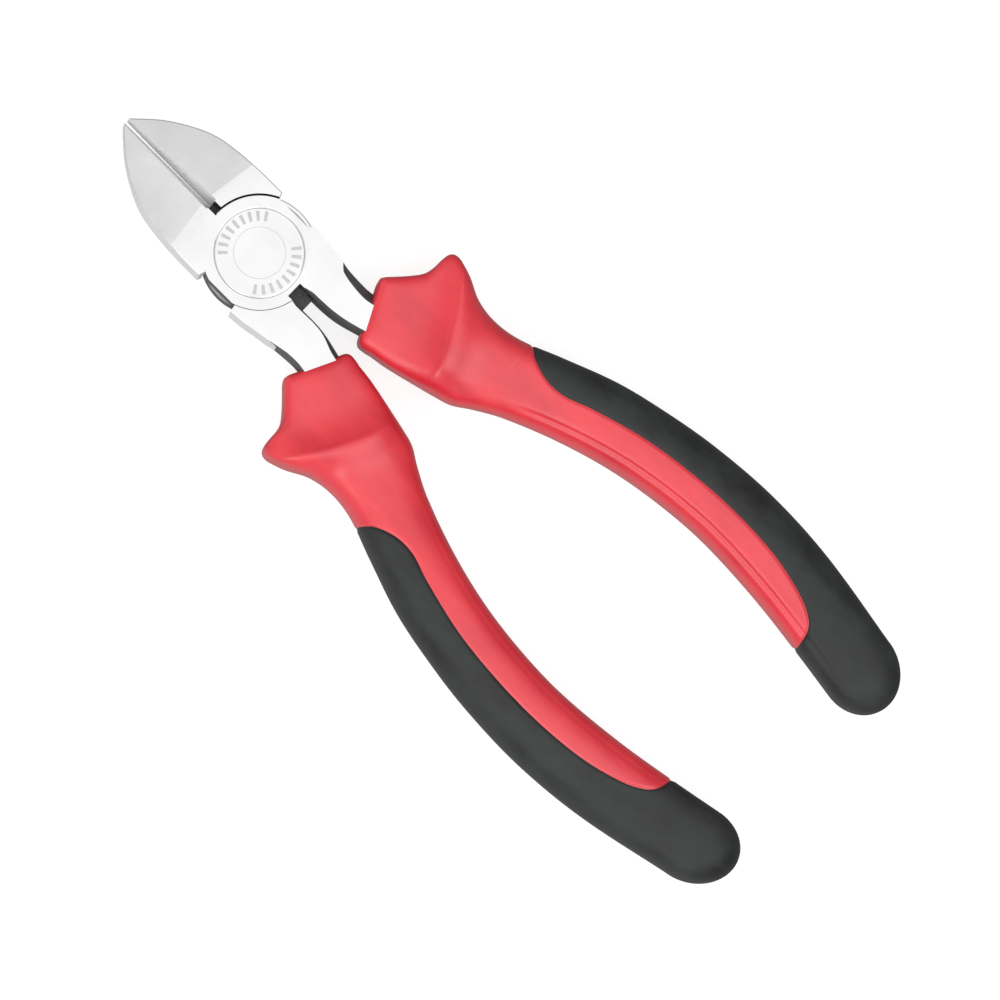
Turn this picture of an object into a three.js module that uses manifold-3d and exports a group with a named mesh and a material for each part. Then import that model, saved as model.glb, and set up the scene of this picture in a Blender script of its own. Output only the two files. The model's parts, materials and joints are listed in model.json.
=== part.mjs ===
// Diagonal cutting pliers, 165 mm size, lying flat and closed.
//
// Two forged levers cross at a lap joint and turn on one rivet. Each lever is a jaw on one side
// of the joint and a handle arm on the other. A two-part grip sits on each arm: a hard sleeve
// with a hand guard, and a soft overlay along its outer side and round its end.
//
// Frame, in millimetres: the origin is on the pivot axis at the joint's back face, +X runs to the
// jaw tips, +Y to the left, and +Z out of the front face. Handles are described by s, the distance
// behind the pivot, and b, the distance out from the middle of the two handles.

import * as THREE from 'three';
import { mergeVertices } from 'three/addons/utils/BufferGeometryUtils.js';
import Module from 'manifold-3d';

const wasm = await Module();
wasm.setup();

// Lap joint
const THICKNESS = 10.4;
const HALF_THICKNESS = THICKNESS / 2;
const LAP_GAP = 0.2; // between the two laps
const LAP_RADIUS = 9.9;
const LAP_FLAT = 9.3; // the front lap is cut flat this far out on both sides
const LEDGE_RADIUS = 10.5; // the rear lap's wider edge, on the right
const SHOULDER_CLEARANCE = 0.2; // between a lap's rim and the shoulders round it
const ROUND_STEPS = 64;

// Pivot rivet
const RIVET_RADIUS = 3.4;
const RIVET_HEAD_RADIUS = 4.5;
const RIVET_HEAD_DEPTH = 1.6;
const RIVET_CLEARANCE = 0.08;

// Jaws
const TIP_X = 32.4;
const TAPER_START_X = 12.6;
const TIP_HALF_THICKNESS = 2.2;
const EDGE_GAP = 0.15; // from a cutting edge to the middle line
const EDGE_LAND = 0.12;
const BEVEL_SLOPE = 0.21; // sideways over up, on the cutting bevels
const RELIEF_HALF_WIDTH = 0.85;
const RELIEF_END_X = 12;
const JAW_SHOULDER = { x: 4.6, y: 10.15 };

// Arms and the tangs inside the grips
const HANDLE_SKEW = THREE.MathUtils.degToRad(1.35); // both handles sit turned this far
const HANDLE_OFFSET = 0.5; // and this far to the left
const ARM_SHOULDER = { s: 3.4, b: 10.3 };
const SLIT_START = 8.7;
const SLIT_HALF_WIDTH = 1.5;
const STOP_END = 12; // the closing stop fills the back of the slit to here
const STOP_CLEARANCE = 0.3;
const ARM_THIN_FROM = 12;
const ARM_THIN_TO = 27;
const TANG_HALF_THICKNESS = 3;
const TANG_END = 119;
const TANG_GAP = 0.3;

// Grips
const GRIP_FRONT = 17.9;
const GRIP_CAP_START = 124.5;
const GRIP_CAP_LENGTH = 8;
const GRIP_CAP_DRIFT = 0.9; // how far the rounded end's middle moves in over its length
const SECTION_POWER = 2.8;
const SECTION_SIDES = 24;
const CORE_HALF_WIDTH = 4.5;
const CORE_HALF_THICKNESS = 4.4;
const CORE_END = 122;
const OVERLAY_GAP = 0.3;
const OVERLAY_TAIL = 114.2; // from here back the overlay goes all round

const REACH = 50; // past the whole tool on either side, for cutting shapes

// Half outlines: distance out from the middle line, against distance along it.
const jawEdge = through([
  [JAW_SHOULDER.x, JAW_SHOULDER.y], [10, 10.1], [16, 9.7], [20, 8.95],
  [24, 7.2], [28, 4.7], [31, 2.1], [TIP_X, 0.75],
]);
const armOuter = through([
  [ARM_SHOULDER.s, ARM_SHOULDER.b], [6, 10.15], [11, 9.45], [15, 9.15], [19, 9.25],
  [30, 11.9], [40, 15.5], [50, 20.1], [60, 23.7], [80, 27.5], [100, 27.3], [TANG_END, 24.6],
]);
const armInner = through([
  [SLIT_START, SLIT_HALF_WIDTH], [16, 1.6], [21, 2.5],
  [30, 5.3], [40, 9.1], [50, 14], [60, 17.9], [80, 22.1], [100, 22.2], [TANG_END, 20],
]);
const gripOuter = through([
  [GRIP_FRONT, 12.2], [20, 14.1], [22, 16], [23.4, 19], [24.2, 22.6], [26, 23.9], [29, 22.9],
  [33, 21.1], [38, 20.5], [43, 21.3], [50, 24], [60, 27.65], [70, 29.9], [80, 31.4],
  [93, 32.1], [107, 31.1], [GRIP_CAP_START, 27.8],
]);
const gripInner = through([
  [GRIP_FRONT, 11.9], [18.8, 9.5], [21.8, 3.5], [23, 1.3], [27, 1.6], [33, 2.7], [39, 4.1],
  [42, 5], [45, 6.9], [50, 9.6], [60, 13.4], [70, 16.1], [80, 17.6], [90, 18.1], [103, 17.2],
  [115, 15.5], [GRIP_CAP_START, 13.9],
]);
const gripHalfThickness = through([
  [GRIP_FRONT, 6.6], [20, 7.7], [25, 8.2], [32, 8.2], [38, 7.5], [45, 7], [60, 7.2],
  [90, 7.4], [115, 7], [GRIP_CAP_START, 6.8],
]);
const overlayEdge = through([
  [44, 23.5], [47, 20.2], [51, 18.8], [55, 18.9], [60, 20.6], [70, 23.2], [80, 24.5],
  [90, 24.9], [100, 24.2], [107, 22.6], [110.8, 21], [113.2, 18.8], [OVERLAY_TAIL, 15.8],
]);

// A smooth function through knots of [position, value], flat beyond its ends.
function through(knots) {
  const last = knots.length - 1;
  const slope = (i) => {
    const a = knots[Math.max(i - 1, 0)];
    const b = knots[Math.min(i + 1, last)];
    return (b[1] - a[1]) / (b[0] - a[0]);
  };
  return (at) => {
    const x = THREE.MathUtils.clamp(at, knots[0][0], knots[last][0]);
    let i = 0;
    while (i < last - 1 && x > knots[i + 1][0]) {
      i += 1;
    }
    const span = knots[i + 1][0] - knots[i][0];
    const t = (x - knots[i][0]) / span;
    const rise = t * t * (3 - 2 * t);
    return knots[i][1] * (1 - rise) + knots[i + 1][1] * rise
      + span * (slope(i) * t * (1 - t) ** 2 - slope(i + 1) * t * t * (1 - t));
  };
}

// Evenly spaced numbers from first to last.
function steps(first, last, count) {
  return Array.from({ length: count + 1 }, (_, i) => first + ((last - first) * i) / count);
}

function toSolid(geometry) {
  geometry.deleteAttribute('normal');
  geometry.deleteAttribute('uv');
  const merged = mergeVertices(geometry, 1e-4);
  return new wasm.Manifold(new wasm.Mesh({
    numProp: 3,
    vertProperties: new Float32Array(merged.attributes.position.array),
    triVerts: new Uint32Array(merged.index.array),
  }));
}

function toGeometry(solid) {
  const mesh = solid.getMesh();
  const geometry = new THREE.BufferGeometry();
  geometry.setAttribute('position', new THREE.BufferAttribute(mesh.vertProperties, 3));
  geometry.setIndex(new THREE.BufferAttribute(mesh.triVerts, 1));
  geometry.computeVertexNormals();
  return geometry;
}

// A plan outline of [x, y] points, extruded between two heights.
function plate(outline, bottom, top) {
  const shape = new THREE.Shape(outline.map(([x, y]) => new THREE.Vector2(x, y)));
  const geometry = new THREE.ExtrudeGeometry(shape, { depth: top - bottom, bevelEnabled: false });
  return toSolid(geometry.translate(0, 0, bottom));
}

// An upper side outline of [x, z] points and its mirror below, extruded across the whole tool.
function sidePlate(upper) {
  const lower = upper.map(([x, z]) => [x, -z]).reverse();
  const shape = new THREE.Shape([...upper, ...lower].map(([x, z]) => new THREE.Vector2(x, z)));
  const geometry = new THREE.ExtrudeGeometry(shape, { depth: 2 * REACH, bevelEnabled: false });
  return toSolid(geometry.rotateX(Math.PI / 2).translate(0, REACH, 0));
}

// A profile of [radius, z] points, turned about the pivot axis.
function turned(profile) {
  const points = profile.map(([radius, z]) => new THREE.Vector2(radius, z));
  return toSolid(new THREE.LatheGeometry(points, ROUND_STEPS).rotateX(Math.PI / 2));
}

function cylinder(radius, bottom, top) {
  return turned([[0, bottom], [radius, bottom], [radius, top], [0, top]]);
}

// The place of the left handle (side 1), or of the right one (side -1), which is the left one
// turned over about the tool's own axis. Both sit turned by the skew and moved by the offset.
function handlePlace(side) {
  const over = new THREE.Matrix4().makeRotationX(side > 0 ? 0 : Math.PI);
  const skewed = new THREE.Matrix4().makeRotationZ(HANDLE_SKEW).multiply(over);
  return skewed.setPosition(0, HANDLE_OFFSET, 0);
}

// A solid made along the unplaced left handle, put in its place on one side.
function onHandle(solid, side) {
  return toSolid(toGeometry(solid).applyMatrix4(handlePlace(side)));
}

function pivotRivet() {
  const end = HALF_THICKNESS;
  const neck = HALF_THICKNESS - RIVET_HEAD_DEPTH;
  return turned([
    [0, -end], [RIVET_HEAD_RADIUS, -end], [RIVET_RADIUS, -neck],
    [RIVET_RADIUS, neck], [RIVET_HEAD_RADIUS, end], [0, end],
  ]);
}

// The countersunk bore that the rivet turns in, run on past both faces.
function rivetBore() {
  const end = HALF_THICKNESS;
  const past = end + 1;
  const neck = HALF_THICKNESS - RIVET_HEAD_DEPTH;
  const shank = RIVET_RADIUS + RIVET_CLEARANCE;
  const head = RIVET_HEAD_RADIUS + RIVET_CLEARANCE;
  return turned([
    [0, -past], [head, -past], [head, -end], [shank, -neck],
    [shank, neck], [head, end], [head, past], [0, past],
  ]);
}

// The left jaw (side 1) or the right one (side -1), full thickness, from its shoulder to its tip.
function jaw(side) {
  const outer = steps(JAW_SHOULDER.x, TIP_X, 20).map((x) => [x, jawEdge(x)]);
  const inner = [
    [TIP_X, EDGE_GAP], [RELIEF_END_X, EDGE_GAP], [RELIEF_END_X, RELIEF_HALF_WIDTH],
    [LAP_RADIUS / 2, RELIEF_HALF_WIDTH], [LAP_RADIUS / 4, LAP_RADIUS / 4],
  ];
  const outline = [...outer, ...inner].map(([x, y]) => [x, side * y]);
  const taper = sidePlate([
    [0, HALF_THICKNESS], [TAPER_START_X, HALF_THICKNESS], [TIP_X + 1, TIP_HALF_THICKNESS],
  ]);
  return plate(outline, -HALF_THICKNESS, HALF_THICKNESS).intersect(taper).subtract(bevels(side));
}

// What grinding takes off a jaw's inner side, to leave its cutting edge at mid thickness.
function bevels(side) {
  const rise = THICKNESS;
  const section = [
    [-1, -rise], [EDGE_GAP + BEVEL_SLOPE * rise, -rise], [EDGE_GAP, -EDGE_LAND],
    [EDGE_GAP, EDGE_LAND], [EDGE_GAP + BEVEL_SLOPE * rise, rise], [-1, rise],
  ];
  const shape = new THREE.Shape(section.map(([y, z]) => new THREE.Vector2(side * y, z)));
  const prism = new THREE.ExtrudeGeometry(shape, { depth: TIP_X, bevelEnabled: false });
  const alongX = new THREE.Matrix4().makeBasis(
    new THREE.Vector3(0, 1, 0), new THREE.Vector3(0, 0, 1), new THREE.Vector3(1, 0, 0),
  );
  return toSolid(prism.applyMatrix4(alongX).translate(RELIEF_END_X, 0, 0));
}

// The left arm and its tang, grown all round, from a given distance behind the pivot.
function armBar(from, grow) {
  const stations = steps(from, TANG_END + grow, 28);
  const outer = stations.map((s) => [-s, armOuter(s) + grow]);
  const inner = stations.map((s) => [-s, armInner(s) - grow]).reverse();
  const full = HALF_THICKNESS + grow;
  const tang = TANG_HALF_THICKNESS + grow;
  const side = sidePlate([
    [-TANG_END - 1, tang], [-ARM_THIN_TO, tang], [-ARM_THIN_FROM, full], [0, full],
  ]);
  return plate([...outer, ...inner], -full, full).intersect(side);
}

// The arm on one side, in its place, from its shoulder back to the end of its tang.
function arm(side) {
  const shoulder = steps(ARM_SHOULDER.s, SLIT_START, 5).map((s) => [-s, armOuter(s)]);
  const root = plate([
    [-LAP_RADIUS / 4, LAP_RADIUS / 2], ...shoulder,
    [-SLIT_START - 1, armOuter(SLIT_START + 1)], [-SLIT_START - 1, SLIT_HALF_WIDTH],
    [-SLIT_START, SLIT_HALF_WIDTH],
  ], -HALF_THICKNESS, HALF_THICKNESS);
  return onHandle(root.add(armBar(SLIT_START, 0)), side);
}

// The square end of the slit between the arms, cut into both laps.
function slit() {
  const corners = [[-SLIT_START, -1], [-SLIT_START, 1], [-2 * SLIT_START, 1], [-2 * SLIT_START, -1]];
  const outline = corners.map(([x, y]) => [x, y * SLIT_HALF_WIDTH]);
  return onHandle(plate(outline, -THICKNESS, THICKNESS), 1);
}

// The closing stop: a lug on the left arm that crosses the back of the slit.
function closingStop(top) {
  const near = STOP_CLEARANCE - SLIT_HALF_WIDTH;
  const far = 2 * SLIT_HALF_WIDTH;
  const root = 0.5 - SLIT_START;
  const outline = [[-STOP_END, near], [root, near], [root, far], [-STOP_END, far]];
  return onHandle(plate(outline, -HALF_THICKNESS, top), 1);
}

// The lever whose lap is at the front: its jaw is on the left and its arm on the right.
function frontLever() {
  const lapBottom = LAP_GAP / 2;
  const pocket = cylinder(LAP_RADIUS + SHOULDER_CLEARANCE, -THICKNESS, lapBottom);
  const ledgePocket = cylinder(LEDGE_RADIUS + SHOULDER_CLEARANCE, -THICKNESS, lapBottom);
  const flats = [[-1, -1], [1, -1], [1, 1], [-1, 1]].map(([x, y]) => [x * REACH, y * LAP_FLAT]);
  return cylinder(LAP_RADIUS, lapBottom, HALF_THICKNESS)
    .intersect(plate(flats, 0, THICKNESS))
    .subtract(slit())
    .add(jaw(1).subtract(pocket))
    .add(arm(-1).subtract(ledgePocket))
    .subtract(rivetBore());
}

// The lever whose lap is at the back, with a ledge that shows below the front lap's right edge.
function rearLever() {
  const lapTop = -LAP_GAP / 2;
  const pocket = cylinder(LAP_RADIUS + SHOULDER_CLEARANCE, lapTop, THICKNESS);
  const start = Math.atan2(-JAW_SHOULDER.y, JAW_SHOULDER.x);
  const end = Math.atan2(-ARM_SHOULDER.b, -ARM_SHOULDER.s);
  const rim = steps(start, end, 12).map((angle) => [Math.cos(angle), Math.sin(angle)]);
  const ledge = [...rim.map(([x, y]) => [x * LEDGE_RADIUS, y * LEDGE_RADIUS]), [0, -RIVET_RADIUS]];
  return cylinder(LAP_RADIUS, -HALF_THICKNESS, lapTop)
    .subtract(slit())
    .add(plate(ledge, -HALF_THICKNESS, lapTop))
    .add(jaw(-1).subtract(pocket))
    .add(arm(1).subtract(pocket))
    .add(closingStop(lapTop))
    .subtract(rivetBore());
}

// Where a grip's rings sit along s: close together round the guard and the end.
function gripStations() {
  const guard = [GRIP_FRONT, 18.3, 19.2, 20.5, 21.8, 22.6, 23.2, 23.7, 24.2, 25, 26, 27.5];
  const handle = steps(29.5, GRIP_CAP_START, 26);
  const cap = steps(0, 0.96 * (Math.PI / 2), 6).slice(1);
  return [...guard, ...handle, ...cap.map((turn) => GRIP_CAP_START + GRIP_CAP_LENGTH * Math.sin(turn))];
}

// The left grip's outer form: the rings of a closed cylinder, each moved along the handle.
function gripForm() {
  const stations = gripStations();
  const rings = stations.length - 1;
  const geometry = new THREE.CylinderGeometry(1, 1, 1, SECTION_SIDES, rings);
  const place = geometry.attributes.position;
  const squared = (value) => Math.sign(value) * Math.abs(value) ** (2 / SECTION_POWER);
  for (let i = 0; i < place.count; i += 1) {
    const s = stations[Math.round((0.5 - place.getY(i)) * rings)];
    const intoCap = Math.max(s - GRIP_CAP_START, 0) / GRIP_CAP_LENGTH;
    const capScale = Math.sqrt(1 - intoCap ** 2);
    const halfWidth = ((gripOuter(s) - gripInner(s)) / 2) * capScale;
    const centre = (gripOuter(s) + gripInner(s)) / 2 - GRIP_CAP_DRIFT * intoCap;
    const b = centre + halfWidth * squared(place.getZ(i));
    const z = gripHalfThickness(s) * capScale * squared(place.getX(i));
    place.setXYZ(i, -s, b, z);
  }
  return toSolid(geometry);
}

// The plan of the overlay: outside its edge line, and everything behind its tail.
function overlayZone(grow) {
  const edge = steps(44, OVERLAY_TAIL, 28).map((s) => [-s + grow, overlayEdge(s) - grow]);
  const around = [
    [-OVERLAY_TAIL + grow, 5], [-GRIP_CAP_START - 20, 5], [-GRIP_CAP_START - 20, 40], [-44 + grow, 40],
  ];
  return plate([...edge, ...around], -20, 20);
}

// The hard core round the tang, which the overlay is moulded over.
function gripCore(grow) {
  const stations = steps(40, CORE_END + grow, 18);
  const middle = (s) => (armOuter(s) + armInner(s)) / 2;
  const wide = CORE_HALF_WIDTH + grow;
  const tall = CORE_HALF_THICKNESS + grow;
  const outer = stations.map((s) => [-s, middle(s) + wide]);
  const inner = stations.map((s) => [-s, middle(s) - wide]).reverse();
  return plate([...outer, ...inner], -tall, tall);
}

function gripSleeve() {
  const form = gripForm();
  return form
    .subtract(overlayZone(0))
    .add(form.intersect(gripCore(0)))
    .subtract(armBar(SLIT_START, TANG_GAP));
}

function gripOverlay() {
  return gripForm().intersect(overlayZone(-OVERLAY_GAP)).subtract(gripCore(OVERLAY_GAP));
}

const forgedSteel = new THREE.MeshStandardMaterial({ color: 0xd9dadc, roughness: 0.28, metalness: 1 });
const rivetSteel = new THREE.MeshStandardMaterial({ color: 0xe4e5e6, roughness: 0.22, metalness: 1 });
const redPlastic = new THREE.MeshStandardMaterial({ color: 0xe2434f, roughness: 0.42, metalness: 0 });
const blackRubber = new THREE.MeshStandardMaterial({ color: 0x35383a, roughness: 0.75, metalness: 0 });

function part(name, solid, material) {
  const mesh = new THREE.Mesh(toGeometry(solid), material);
  mesh.name = name;
  return mesh;
}

// One handle's grip, in its place on the arm.
function grip(side, sleeve, overlay) {
  const group = new THREE.Group();
  const name = side > 0 ? 'left' : 'right';
  group.add(part(`${name}_grip_sleeve`, sleeve, redPlastic));
  group.add(part(`${name}_grip_overlay`, overlay, blackRubber));
  group.applyMatrix4(handlePlace(side));
  return group;
}

const sleeve = gripSleeve();
const overlay = gripOverlay();

// Everything is made about the middle of the joint's thickness, then stood on its back face.
const pliers = new THREE.Group();
pliers.position.z = HALF_THICKNESS;
pliers.add(
  part('front_lever', frontLever(), forgedSteel),
  part('rear_lever', rearLever(), forgedSteel),
  part('pivot_rivet', pivotRivet(), rivetSteel),
  grip(1, sleeve, overlay),
  grip(-1, sleeve, overlay),
);

const model = new THREE.Group();
model.add(pliers);

export default model;
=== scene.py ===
import json
import math

import bmesh
import bpy
from mathutils import Matrix, Vector
from mathutils.kdtree import KDTree


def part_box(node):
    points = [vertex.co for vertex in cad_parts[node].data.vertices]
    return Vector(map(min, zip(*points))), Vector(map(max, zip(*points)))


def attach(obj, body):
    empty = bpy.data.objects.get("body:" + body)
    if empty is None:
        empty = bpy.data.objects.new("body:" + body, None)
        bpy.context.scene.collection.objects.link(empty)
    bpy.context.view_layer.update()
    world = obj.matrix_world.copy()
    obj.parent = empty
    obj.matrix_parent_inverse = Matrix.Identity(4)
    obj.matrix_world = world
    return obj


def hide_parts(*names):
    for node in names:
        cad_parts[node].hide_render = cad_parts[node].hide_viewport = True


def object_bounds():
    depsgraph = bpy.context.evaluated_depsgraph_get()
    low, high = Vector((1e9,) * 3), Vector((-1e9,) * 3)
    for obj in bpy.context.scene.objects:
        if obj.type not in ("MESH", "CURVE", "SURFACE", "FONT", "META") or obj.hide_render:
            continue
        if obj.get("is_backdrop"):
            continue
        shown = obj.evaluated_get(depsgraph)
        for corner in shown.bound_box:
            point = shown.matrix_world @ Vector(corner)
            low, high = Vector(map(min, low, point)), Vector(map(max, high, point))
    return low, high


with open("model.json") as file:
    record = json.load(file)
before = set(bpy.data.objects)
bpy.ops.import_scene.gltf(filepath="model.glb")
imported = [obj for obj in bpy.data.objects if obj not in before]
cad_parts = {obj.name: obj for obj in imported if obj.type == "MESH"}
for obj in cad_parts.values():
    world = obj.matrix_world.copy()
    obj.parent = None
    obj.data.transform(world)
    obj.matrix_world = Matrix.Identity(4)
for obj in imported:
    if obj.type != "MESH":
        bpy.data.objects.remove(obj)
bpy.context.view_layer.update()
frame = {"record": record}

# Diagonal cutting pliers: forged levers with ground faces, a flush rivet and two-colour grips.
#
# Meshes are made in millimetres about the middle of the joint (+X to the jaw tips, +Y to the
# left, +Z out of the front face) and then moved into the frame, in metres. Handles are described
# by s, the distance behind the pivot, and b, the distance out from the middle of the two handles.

MM = 0.001

# From the frame: where the joint is and how thick, and how far the jaws reach.
PIVOT = Vector(frame["record"]["behaviour"]["joints"][0]["pos_m"])
LEVER_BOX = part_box("front_lever")
HALF = (LEVER_BOX[1].z - LEVER_BOX[0].z) / 2 / MM
TIP_X = LEVER_BOX[1].x / MM
RIVET_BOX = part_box("pivot_rivet")
RIVET_HEAD = (RIVET_BOX[1].x - RIVET_BOX[0].x) / 2 / MM

# Lap joint: the front lap is a disc cut flat on both sides
LAP_RADIUS = 9.9
LAP_FLAT = 9.5
LAP_FLAT_RIGHT = 9.0
LAP_GAP = 0.16
EDGE_ROUND = 0.2
LEDGE_RADIUS = 10.5
JAW_SHOULDER_GAP = 0.38
ARM_SHOULDER_GAP = 0.12
RIVET_NECK = 3.4
RIVET_DEPTH = 1.6
RIVET_LINE = 0.018
RIVET_LIP = 0.02
ROUND = 160

# Marks sunk into the front boss
RING_RADIUS = 7.8
RING_WIDTH = 0.32
RING_DEPTH = 0.053
MARK_DEPTH = 0.07
MARK_FOOT = (5.55, 0.24)
MARK_HEAD = (7.25, 0.32)
MARKS_PER_ARC = 9
# The two arcs of marks: the middle of each and how far it reaches to either side, in degrees.
MARK_ARCS = ((-5, 50), (180, 52))

# Jaws. The facets' rear edge runs askew through the point (FACET_START, FACET_START_AT).
FACET_START = 12.8
FACET_START_AT = 2
FACET_DROP = 0.155
FACET_SKEW = 0.14
BEVEL_SLOPE = 0.22
WEB_GAP = 0.03
EDGE_GAP = 0.04
TIP_GAP = 0.2
EDGE_LAND = 0.1
RELIEF_END = 11.8
RELIEF_WIDTH = 0.85
RELIEF_WEB = 0.6
JAW_SHOULDER = (4.6, 10.15)

# Arms
HANDLE_SKEW = math.radians(1.35)
HANDLE_OFFSET = 0.5
ARM_SHOULDER = (3.4, 10.3)
SLIT_START = 8.7
SLIT_WIDTH = 1.5
SLIT_TAB_START = math.radians(-175)
SLIT_TAB_END = math.radians(-165)
STOP_END = 12.0
STOP_GAP = 0.1
TANG_END = 119.0
TANG_HALF = 3.0
THINNING_START = 24
THINNING_END = 36
ROUNDED_TO = TANG_END / 3
BARE_FROM = 13.5
MOUTH_GAP = 0.05
# Width of the sloped flanks at distances behind the pivot. 1 is the face that is in front on the
# left arm and behind on the right one, and -1 is the other face.
OUTER_FLANKS = {1: [(11.5, 0), (15.5, 0.45)], -1: [(11.5, 0), (12.8, 1.1), (19, 1.9)]}
INNER_FLANKS = {1: [(9.5, 0), (11, 0.3), (17, 0.3), (20.5, 0.9)], -1: [(9.5, 0), (11.5, 0.45)]}
FLANK_END = 36
FLANK_SLOPE = 1.9
FLANK_SPARE = 0.6

# Grips, in plan: the guard's pointed front, a fan of rings round it, and the rounded cap
FRONT_POINT = (18.0, 12.0)
FRONT_HUB = (26.0, 12.4)
FAN_END = 26.0
HUB_FADE = 38
CAP_START = 124.5
CAP_LENGTH = 8.0
CAP_DRIFT = 0.9

# Grips, in section: squarer in front, rounder along the outer side, and leaning at the neck.
# The spans named IN and OUT are where a change comes in and where it goes out again.
SECTION_POWER = 3.2
FRONT_SQUARE = 3.0
SQUARE_FADE = 37
OUTER_ROLL = 0.8
ROLL_IN = (44, 60)
ROLL_OUT = (106, CAP_START)
NECK_LEAN = 0.11
LEAN_IN = (34, 40)
LEAN_OUT = (54, 70)

# Guards: a crest, steep in front and gentle behind
CREST_RISE = 1.45
CREST_TOP = 1.2
CREST_BACK = 4.2
FRONT_FALL = 2.3
FRONT_SLOPE = 8.0

# The seam between the two plastics, and the overlay's bed in the sleeve
SEAM_START = 45.0
SEAM_TAIL = 114.2
SEAM_DIP = 0.2
SEAM_SPREAD = 0.3
OVERLAY_DEPTH = 1.6
OVERLAY_GAP = 0.02
BED_START = 0.3
BED_TURN = 0.8

# The line moulded along each inner edge, by side: 1 is the left grip
EDGE_LINES = {1: 0.06, -1: 0.24}
LINE_IN = (49, 54)
LINE_OUT = (119, 127)
LINE_PLACE = 2.1
LINE_SPREAD = 0.38

# How finely the grips are divided. Points crowd towards the seam, and the seam stays short of
# the innermost line, at LAST_TURN, until its tail.
FAN_STEPS = 40
NECK_STEPS = 48
CAP_STEPS = 20
SKIN_STEPS = 60
CORE_STEPS = 14
LINER_STEPS = 20
SEAM_POINTS = 2800
CROWDING = 1.5
LAST_TURN = math.pi - 0.02
WELD = 0.002

# Edges that turn more than this many degrees are shaded sharp.
STEEL_SHARP = 17.5
PLASTIC_SHARP = 32

# Steel surfaces, in the order of the levers' material slots
POLISHED, GROUND, MATT, FORGED, ETCHED = range(5)

# Dome light, from the horizon to straight overhead, and what the tool's left side adds to it
DOME_LEVELS = [(0.0, 0.2), (0.5, 0.25), (0.8, 0.4), (0.92, 0.9), (1.0, 1.0)]
DOME_LEFT = 0.35
DOME_STRENGTH = 1.57

# Camera: the width it sees at the tool, how far off it is, where it aims from the pivot, its tilt
VIEW_WIDTH = 0.1728
VIEW_DISTANCE = 1.6
VIEW_AIM = (-0.0594, 0.0002, 0)
VIEW_TILT = math.radians(5.5)


# ---------------------------------------------------------------- curves

def through(knots):
    """A smooth function through (position, value) knots, flat beyond its ends."""
    last = len(knots) - 1

    def slope(i):
        a, b = knots[max(i - 1, 0)], knots[min(i + 1, last)]
        return (b[1] - a[1]) / (b[0] - a[0])

    def at(x):
        x = min(max(x, knots[0][0]), knots[last][0])
        i = 0
        while i < last - 1 and x > knots[i + 1][0]:
            i += 1
        span = knots[i + 1][0] - knots[i][0]
        t = (x - knots[i][0]) / span
        rise = t * t * (3 - 2 * t)
        bend = slope(i) * t * (1 - t) ** 2 - slope(i + 1) * t * t * (1 - t)
        return knots[i][1] * (1 - rise) + knots[i + 1][1] * rise + span * bend

    return at


def smooth(low, high, x):
    """0 below low, 1 above high, and a smooth step between."""
    t = min(max((x - low) / (high - low), 0.0), 1.0)
    return t * t * (3 - 2 * t)


def bell(x, width):
    return math.exp(-((x / width) ** 2))


def steps(first, last, count):
    return [first + (last - first) * i / count for i in range(count + 1)]


def circle(radius, z):
    turns = [2 * math.pi * i / ROUND for i in range(ROUND)]
    return [(radius * math.cos(a), radius * math.sin(a), z) for a in turns]


def along(points, count):
    """count + 1 points evenly spaced by length along a smooth curve through the given ones."""
    reach = [0.0]
    for p, q in zip(points, points[1:]):
        reach.append(reach[-1] + math.dist(p, q))
    x = through([(r, p[0]) for r, p in zip(reach, points)])
    y = through([(r, p[1]) for r, p in zip(reach, points)])
    return [(x(r), y(r)) for r in steps(0, reach[-1], count)]


jaw_edge = through([
    JAW_SHOULDER, (10, 10.1), (16, 9.7), (20, 8.95), (24, 7.2), (28, 4.7), (31, 2.1),
    (TIP_X, 0.75),
])
arm_outer = through([
    ARM_SHOULDER, (6, 10.15), (11, 9.45), (15, 9.15), (19, 9.25), (30, 11.9), (40, 15.5),
    (50, 20.1), (60, 23.7), (80, 27.5), (100, 27.3), (TANG_END, 24.6),
])
arm_inner = through([
    (SLIT_START, SLIT_WIDTH), (16, 1.6), (21, 2.5), (30, 5.3), (40, 9.1), (50, 14), (60, 17.9),
    (80, 22.1), (100, 22.2), (TANG_END, 20),
])
grip_outer = through([
    (FAN_END, 23.9), (29, 22.9), (33, 21.1), (38, 20.5), (43, 21.3), (50, 24), (60, 27.65),
    (70, 29.9), (80, 31.4), (93, 32.1), (107, 31.1), (CAP_START, 27.8),
])
grip_inner = through([
    (FAN_END, 1.5), (29, 1.9), (33, 2.7), (39, 4.1), (42, 5), (45, 6.9), (50, 9.6), (60, 13.4),
    (70, 16.1), (80, 17.6), (90, 18.1), (103, 17.2), (115, 15.5), (CAP_START, 13.9),
])
grip_half = through([
    (17.9, 7.15), (22, 6.85), (27, 6.75), (31, 6.75), (38, 6.75), (45, 6.8), (60, 7.1), (90, 7.3),
    (115, 6.9), (CAP_START, 6.7),
])
seam = through([
    (SEAM_START, grip_outer(SEAM_START)), (47, 20.2), (51, 18.8), (55, 18.9), (60, 20.6),
    (70, 23.2), (80, 24.5), (90, 24.9), (100, 24.2), (107, 22.6), (110.8, 21), (113.2, 18.8),
    (SEAM_TAIL, 15.3),
])
# The guard's crest: how far behind the pivot it runs, at distances out from the middle
crest = through([
    (1, 37.4), (4, 37.2), (9, 36.0), (15, 33.0), (18, 31.2), (22, 28.4), (25, 26.3),
])


# ---------------------------------------------------------------- materials

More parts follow.
